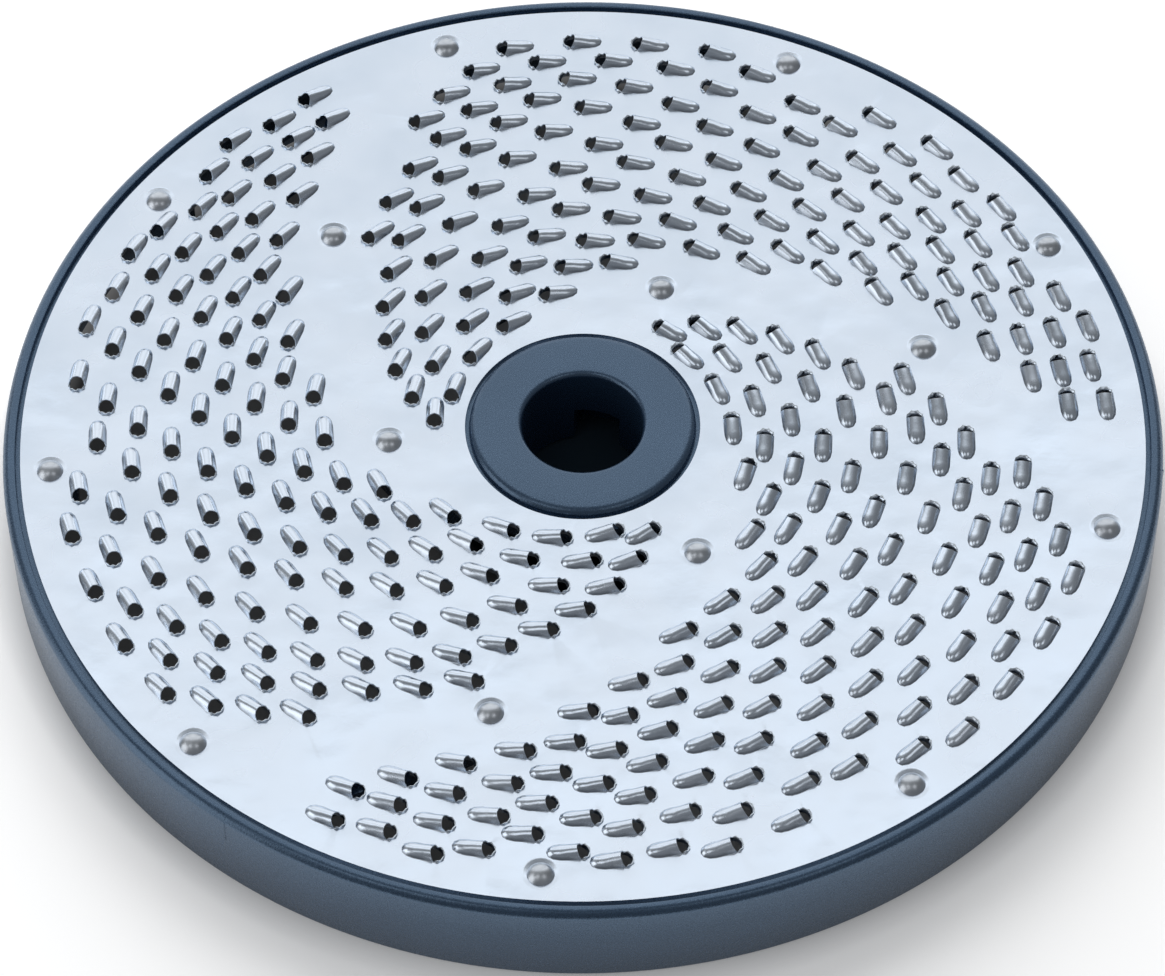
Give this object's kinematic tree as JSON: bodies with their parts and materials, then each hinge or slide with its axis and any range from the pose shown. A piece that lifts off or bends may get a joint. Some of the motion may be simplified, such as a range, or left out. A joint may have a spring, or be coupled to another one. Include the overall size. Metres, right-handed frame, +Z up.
{
  "type": "food processor disc",
  "caption": "Round grating disc for a vegetable cutter: toothed steel sheet riveted to a moulded plastic rim and hub with a drive bore.",
  "frame": {"origin": "middle of the rim's foot, on the drive axis", "axes": "+Z up the drive axis to the toothed side, -Y towards the picture's viewer, +X to the viewer's right"},
  "size_m": [0.2284, 0.2284, 0.0218],
  "materials": {
    "carrier_plastic": "satin moulded plastic, dark slate blue",
    "sheet_steel": "bright pressed stainless steel",
    "rivet_steel": "bright steel"
  },
  "bodies": {
    "root": {"carrier": "carrier_plastic", "grating_sheet": "sheet_steel", "rivets": "rivet_steel"}
  },
  "joints": []
}
